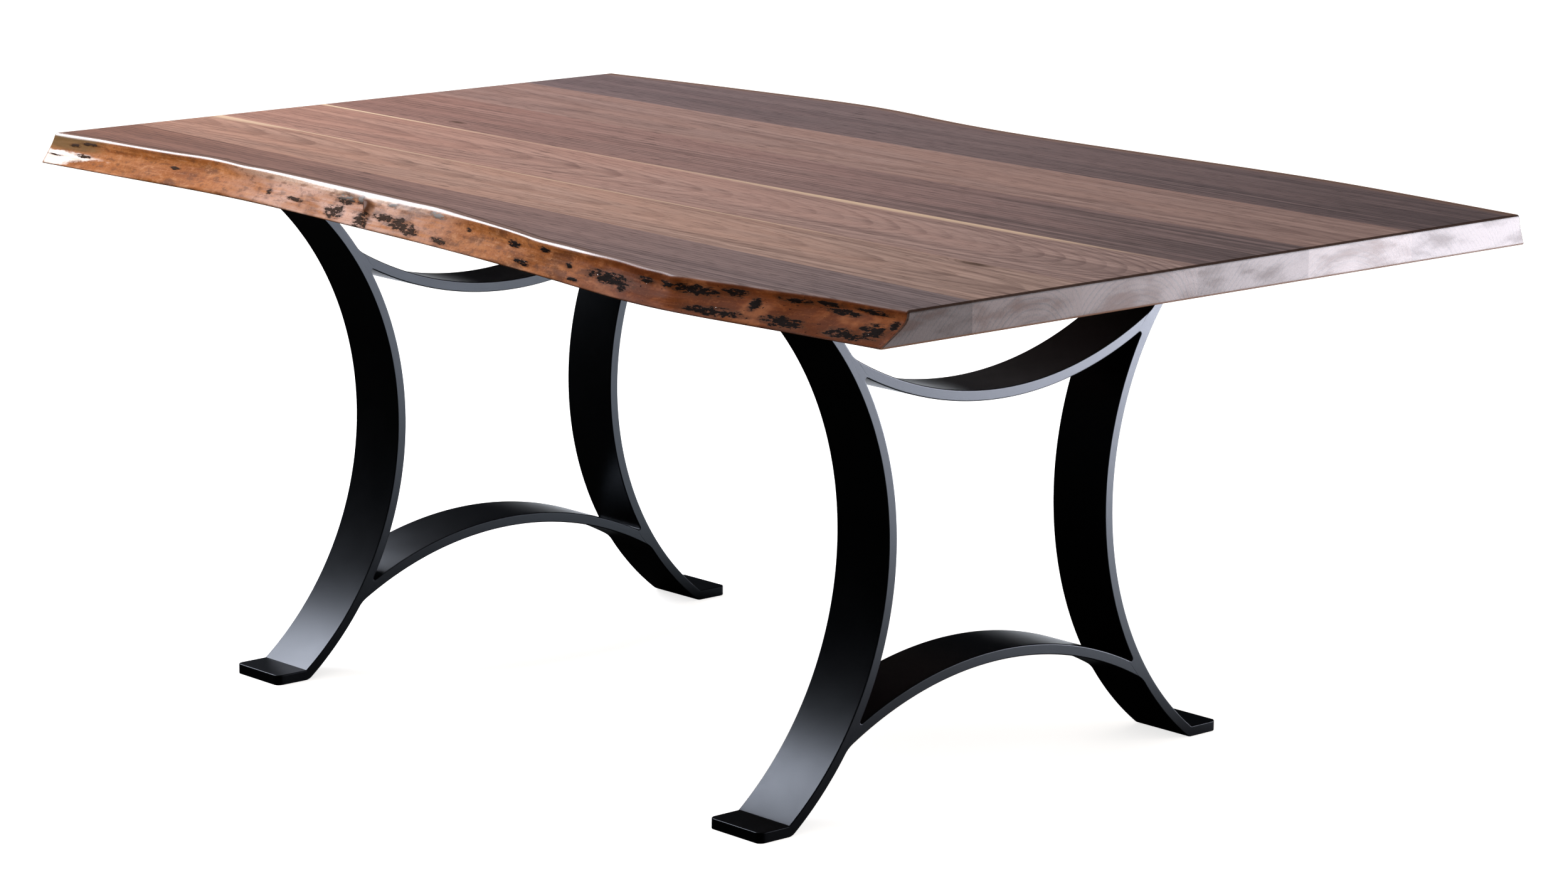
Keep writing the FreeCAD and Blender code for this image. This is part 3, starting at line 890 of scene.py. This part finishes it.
# Grain of each board: its middle line and lean, the heart line's place, the years' taper, bow and width, the
# strength of loops and streaks, how much a painted light tint reddens it to the left and cools it to the
# right, how much painted shade darkens it to left and right, its colours and its end's.
plain_grain = {"bow": 0.0, "eye": 0.0, "knots": (), "sap": ()}
front_grain = dict(
    plain_grain, middle=-0.470, lean=-0.033, heart=0.30, depth=top - 0.35, taper=0.010, year=0.0065,
    figure=0.34, streaks=0.56, painted_tint=1.0, painted_falloff=(0.13, 0.13),
    pale=(0.281, 0.183, 0.161), dark=(0.090, 0.060, 0.057), warm=(0.214, 0.136, 0.120),
    cut=(0.100, 0.062, 0.052), sheen=0.35, heartwood=(0.105, 0.052, 0.038),
)
second_grain = dict(
    plain_grain, middle=-0.3285, lean=-0.0235, heart=0.005, depth=top - 0.085, taper=0.055, year=0.0075,
    figure=0.28, streaks=0.78, painted_tint=0.4, painted_falloff=(0.12, 0.15),
    pale=(0.421, 0.277, 0.224), dark=(0.170, 0.105, 0.086), warm=(0.354, 0.206, 0.156),
    cut=(0.165, 0.105, 0.088), sheen=0.46, heartwood=(0.140, 0.066, 0.042),
    knots=((0.732, -0.262, 0.03),),
    sap=({
        "joint": -0.243, "lean": -0.0142,
        "widths": ((-0.914, 1.6), (-0.80, 1.1), (-0.70, 0.35), (0.45, 0.25), (0.58, 0.0)),
        "strengths": ((-0.914, 0.75), (-0.72, 0.55), (-0.4, 0.35), (0.0, 0.55), (0.40, 0.5), (0.58, 0.0)),
    },),
)
third_grain = dict(
    plain_grain, middle=-0.143, lean=-0.0096, heart=-0.01, depth=top - 0.10, taper=0.02, year=0.0075,
    bow=0.06, eye=-0.66, figure=0.28, streaks=0.78, painted_tint=0.5, painted_falloff=(0.03, 0.18),
    pale=(0.402, 0.261, 0.219), dark=(0.156, 0.097, 0.085), warm=(0.327, 0.193, 0.158),
    cut=(0.165, 0.105, 0.088), sheen=0.49, heartwood=(0.140, 0.066, 0.042),
    sap=({
        "joint": -0.0425, "lean": -0.0049,
        "widths": (
            (-0.914, 0.6), (-0.66, 0.35), (-0.20, 0.25), (0.05, 0.6), (0.30, 1.1), (0.62, 0.9), (0.90, 0.3),
        ),
        "strengths": (
            (-0.914, 0.95), (-0.68, 0.8), (-0.45, 0.2), (-0.05, 0.35), (0.25, 0.75), (0.60, 0.7), (0.90, 0.0),
        ),
    },),
)
fourth_grain = dict(
    plain_grain, middle=0.060, lean=-0.0033, heart=0.14, depth=top - 0.20, taper=0.012, year=0.0070,
    figure=0.31, streaks=0.72, painted_tint=0.55, painted_falloff=(-0.10, 0.36),
    pale=(0.308, 0.199, 0.179), dark=(0.096, 0.066, 0.062), warm=(0.227, 0.138, 0.123),
    cut=(0.140, 0.094, 0.082), sheen=0.43, heartwood=(0.100, 0.055, 0.042),
    knots=((-0.634, 0.0, 0.018),),
)
fifth_grain = dict(
    plain_grain, middle=0.262, lean=0.0003, heart=-0.03, depth=top - 0.12, taper=0.03, year=0.0080,
    figure=0.22, streaks=0.68, painted_tint=0.1, painted_falloff=(0.12, 0.10),
    pale=(0.338, 0.229, 0.200), dark=(0.146, 0.093, 0.083), warm=(0.280, 0.173, 0.144),
    cut=(0.175, 0.112, 0.092), sheen=0.53, heartwood=(0.160, 0.078, 0.050),
)
back_grain = dict(
    plain_grain, middle=0.480, lean=0.002, heart=-0.30, depth=top - 0.30, taper=0.010, year=0.0065,
    figure=0.34, streaks=0.56, painted_tint=0.0, painted_falloff=(0.04, 0.28),
    pale=(0.224, 0.163, 0.157), dark=(0.072, 0.056, 0.059), warm=(0.154, 0.108, 0.106),
    cut=(0.145, 0.100, 0.090), sheen=0.49, heartwood=(0.100, 0.060, 0.050),
)

# Colours of a live edge, the tint that ripe multiplies by, and the stretches over which each change comes.
# Some are painted light: a pink haze, a paler haze under the arris, a glare patch at the left end, a pale
# band by the rim and grey haze on bark near the arris; the line beside the rim and the foot are painted
# shade.
bare_edge = {
    "pale": (0.335, 0.126, 0.038), "dark": (0.205, 0.063, 0.015), "amber": (0.285, 0.092, 0.020),
    "bloom": (0.420, 0.240, 0.170), "blush": (0.680, 0.540, 0.450), "deep": (0.062, 0.020, 0.007),
    "shadow": (0.070, 0.024, 0.009), "tan": (0.300, 0.150, 0.080), "stub": (0.100, 0.036, 0.015),
    "fleck": (0.420, 0.200, 0.095), "ripe": (1.04, 0.76, 0.54), "dull": (0.130, 0.082, 0.034),
    "wet": (0.78, 0.68, 0.60), "foot": (0.020, 0.010, 0.006), "black": (0.005, 0.003, 0.003),
    "brown": (0.048, 0.028, 0.019), "hazed_bark": (0.19, 0.18, 0.175), "glint": (0.80, 0.77, 0.75),
    "band": (0.170, 0.108, 0.080), "painted_shade_line": (0.055, 0.030, 0.022), "rim": (0.60, 0.78),
    "haze_from": (-0.56, -0.36), "haze_to": (-0.14, 0.08), "deep_from": (0.20, 0.50),
    "black_from": (-0.02, 0.20), "hazed_bark_from": (-0.40, -0.30), "hazed_bark_to": (0.00, 0.05),
    "highlight_fade_from": (0.32, 0.44), "highlight_fade": 0.8, "ledge": 1.0, "ledge_to": (-0.84, -0.78),
    "wet_from": (-0.9135, -0.909), "wet_taper": (-0.91, -0.78),
}
far_edge = dict(bare_edge, ledge=0.0, band=(0.260, 0.150, 0.100), rim=(0.15, 0.75), highlight_fade=0.0)

# Swells in the front edge's outline: place along it, half width and how far out, or in where negative.
front_swells = (
    (0.556, 0.018, 0.006), (0.250, 0.050, 0.005), (0.430, 0.050, -0.006),
    (-0.580, 0.050, -0.006), (0.660, 0.030, -0.003), (0.790, 0.060, -0.006),
    (-0.820, 0.050, -0.004), (-0.030, 0.040, -0.004), (-0.485, 0.030, 0.003),
)
# Bark on the front edge: place along it, drop below the top, half length and half height.
front_spots = (
    (-0.860, 0.013, 0.010, 0.002), (-0.832, 0.009, 0.018, 0.002), (-0.895, 0.028, 0.016, 0.001),
    (-0.832, 0.025, 0.016, 0.002), (-0.635, 0.020, 0.009, 0.002), (-0.408, 0.025, 0.007, 0.003),
    (-0.342, 0.027, 0.018, 0.002), (-0.233, 0.014, 0.019, 0.005), (-0.241, 0.030, 0.018, 0.007),
    (-0.172, 0.033, 0.014, 0.009), (-0.126, 0.025, 0.022, 0.004), (-0.085, 0.028, 0.024, 0.006),
    (-0.197, 0.010, 0.008, 0.006), (-0.124, 0.008, 0.011, 0.003), (-0.020, 0.008, 0.018, 0.004),
    (-0.056, 0.032, 0.016, 0.005), (0.016, 0.034, 0.018, 0.003), (0.066, 0.014, 0.006, 0.002),
    (0.187, 0.015, 0.016, 0.004), (0.267, 0.010, 0.010, 0.003), (0.224, 0.032, 0.017, 0.003),
    (0.328, 0.021, 0.007, 0.003), (0.348, 0.035, 0.012, 0.002), (0.424, 0.023, 0.044, 0.006),
    (0.456, 0.029, 0.010, 0.004), (0.500, 0.014, 0.016, 0.003), (0.545, 0.013, 0.014, 0.004),
    (0.593, 0.014, 0.032, 0.006), (0.650, 0.010, 0.017, 0.005), (0.634, 0.034, 0.044, 0.004),
    (0.688, 0.020, 0.009, 0.006), (0.742, 0.009, 0.024, 0.003), (0.745, 0.033, 0.028, 0.005),
    (0.792, 0.007, 0.020, 0.004), (0.817, 0.014, 0.024, 0.003), (0.859, 0.008, 0.026, 0.003),
    (0.842, 0.034, 0.028, 0.004), (0.880, 0.027, 0.018, 0.006), (0.904, 0.019, 0.009, 0.004),
)
back_spots = (
    (-0.52, 0.022, 0.030, 0.005), (-0.20, 0.030, 0.024, 0.004), (0.16, 0.018, 0.036, 0.005),
    (0.48, 0.028, 0.030, 0.006), (0.74, 0.022, 0.022, 0.005),
)
# The branch stub on the front edge: place along it, drop below the top, size and how far it stands out.
front_stub = ((-0.180, 0.019, 0.011, 0.007),)


def front_knee(x):
    """How much the front edge's section bends, less in the middle and at the left end, and where."""
    left = 1.0 - ease(-0.88, -0.74, x)
    return 1.0 - 0.55 * hill(x, -0.22, 0.32) - 0.65 * left, np.full_like(x, 0.33)


def back_knee(x):
    """The same for the back edge, alike from end to end."""
    return np.full_like(x, 0.6), np.full_like(x, 0.33)


def front_roll(x):
    """The radius of the front arris: rounder about two worn places, sharper between them and to the right."""
    worn = 0.64 + 0.36 * hill(x, -0.16, 0.16) + 0.30 * hill(x, 0.32, 0.07) - 0.16 * hill(x, 0.15, 0.07)
    return arris_roll * worn


def back_roll(x):
    """The same for the back arris, alike from end to end."""
    return np.full_like(x, 0.8 * arris_roll)


front_board = live_board(
    "front_live_edge_board", -1.0, 1120, front_swells, front_spots, front_stub, front_knee, front_roll, 20
)
back_board = live_board("back_live_edge_board", 1.0, 760, (), back_spots, (), back_knee, back_roll, 40)
dress(front_board, walnut("front walnut", front_grain, bare_edge))
dress(back_board, walnut("back walnut", back_grain, far_edge))
for node, grain in (
    ("second_board", second_grain),
    ("third_board", third_grain),
    ("fourth_board", fourth_grain),
    ("fifth_board", fifth_grain),
):
    dress(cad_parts[node], walnut(node + " walnut", grain))

black = powder_coat("black powder coat")
plated = zinc("zinc plate")
for side in ("left", "right"):
    sizes = trestle_sizes(side)
    steel = [
        leg(side + "_front_leg", sizes, -1.0),
        leg(side + "_back_leg", sizes, 1.0),
        rail(side + "_upper_rail", sizes, 1.0),
        rail(side + "_lower_rail", sizes, -1.0),
        welds(side + "_upper_rail_welds", sizes, 1.0),
        welds(side + "_lower_rail_welds", sizes, -1.0),
    ]
    for piece in steel:
        dress(piece, black)
    for node in ("_top_screws", "_washers"):
        dress(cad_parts[side + node], plated)


# Floor, light and camera


def floor_sheet():
    """A plain pale floor, a square grid at height zero. It glows near white to the camera. In reflections it
    is dim in front of the table and glows pale behind it, a painted reflection."""
    half_side, rows = 30.0, 5
    line = np.linspace(-half_side, half_side, rows)
    x, y = np.meshgrid(line, line, indexing="ij")
    points = np.stack([x, y, np.zeros_like(x)], axis=-1).reshape(-1, 3)
    i, j = np.meshgrid(np.arange(rows - 1), np.arange(rows - 1), indexing="ij")
    corner = i * rows + j
    faces = np.stack([corner, corner + rows, corner + rows + 1, corner + 1], axis=-1).reshape(-1, 4)
    mesh = bpy.data.meshes.new("floor")
    mesh.from_pydata(points.tolist(), [], faces.tolist())
    floor = add_object("floor", mesh)
    material, shader, place = finish("pale floor", roughness=1.0, specular=0.0)
    seen, shiny = place.split("ShaderNodeLightPath", ("Is Camera Ray", "Is Glossy Ray"))
    behind = place.add("ShaderNodeSeparateXYZ", None, {0: place}, output=1).ease(0.35, 0.85)
    mirrored = behind.mix((0.004, 0.004, 0.004), (0.80, 0.86, 0.95))
    paint = seen.mix(shiny.mix((0.05, 0.05, 0.05), mirrored), (0.80, 0.80, 0.80))
    glow = seen.mix((shiny * behind).mix((0.0, 0.0, 0.0), (1.00, 1.06, 1.15)), (0.70, 0.70, 0.70))
    feed(shader, Base_Color=paint, Emission_Color=glow)
    shader.inputs["Emission Strength"].default_value = 1.0
    mesh.materials.append(material)


def softbox(name, place, aim, width, height, power, colour, spread=math.pi, mirrored=True):
    """An oval area light that faces a point, with its beam's angle and whether gloss mirrors it."""
    lamp = bpy.data.lights.new(name, "AREA")
    lamp.shape = "ELLIPSE"
    lamp.size = width
    lamp.size_y = height
    lamp.energy = power
    lamp.color = colour
    lamp.spread = spread
    box = add_object(name, lamp)
    box.location = place
    box.rotation_euler = (Vector(aim) - Vector(place)).to_track_quat("-Z", "Y").to_euler()
    box.visible_camera = False
    box.visible_glossy = mirrored


def studio():
    """Soft light from all round that the gloss hardly sees, a key box up on the left, a low box off the
    right end and a dim card in front for the live edge."""
    world = bpy.data.worlds.new("studio")
    world.use_nodes = True
    bpy.context.scene.world = world
    start = Socket(world.node_tree)
    seen, shiny = start.split("ShaderNodeLightPath", ("Is Camera Ray", "Is Glossy Ray"))
    colour = seen.mix(shiny.mix((0.92, 0.87, 0.82), (0.012, 0.013, 0.016)), (1.0, 1.0, 1.0))
    start.tree.links.new(colour.output, world.node_tree.nodes["Background"].inputs["Color"])
    softbox(
        "key box", place=(-2.35, -0.75, 2.50), aim=(0.2, -0.3, 0.6), width=2.3, height=2.0,
        power=117.0, colour=(0.91, 0.92, 1.0),
    )
    softbox(
        "end box", place=(1.95, 2.0, 0.42), aim=(0.78, 0.25, 0.60), width=1.2, height=0.84,
        power=2.9, colour=(0.94, 0.91, 1.0), spread=0.66,
    )
    softbox(
        "front card", place=(-1.2, -3.0, 0.9), aim=(-0.3, -0.5, 0.72), width=2.4, height=1.2,
        power=12.0, colour=(1.0, 0.94, 0.86), mirrored=False,
    )


def photo_camera():
    """The camera: its place, and its axes from heading h, tilt t and roll.
    Forward is (-sin h cos t, cos h cos t, sin t)."""
    place, focal_length = (5.0072, -4.4924, 1.8059), 111.6
    heading, tilt, roll = 0.82996, -0.2088, 0.01098
    ahead = Vector((-math.sin(heading) * math.cos(tilt), math.cos(heading) * math.cos(tilt), math.sin(tilt)))
    level = Vector((math.cos(heading), math.sin(heading), 0.0))
    upright = level.cross(ahead)
    right = level * math.cos(roll) + upright * math.sin(roll)
    above = upright * math.cos(roll) - level * math.sin(roll)
    lens = bpy.data.cameras.new("camera")
    lens.sensor_width = 36.0
    lens.sensor_fit = "HORIZONTAL"
    lens.lens = focal_length
    lens.clip_end = 200.0
    camera = add_object("camera", lens)
    axes = Matrix((right, above, -ahead)).transposed().to_4x4()
    camera.matrix_world = Matrix.Translation(place) @ axes
    bpy.context.scene.camera = camera


floor_sheet()
studio()
photo_camera()
bpy.context.scene.view_settings.view_transform = "Standard"
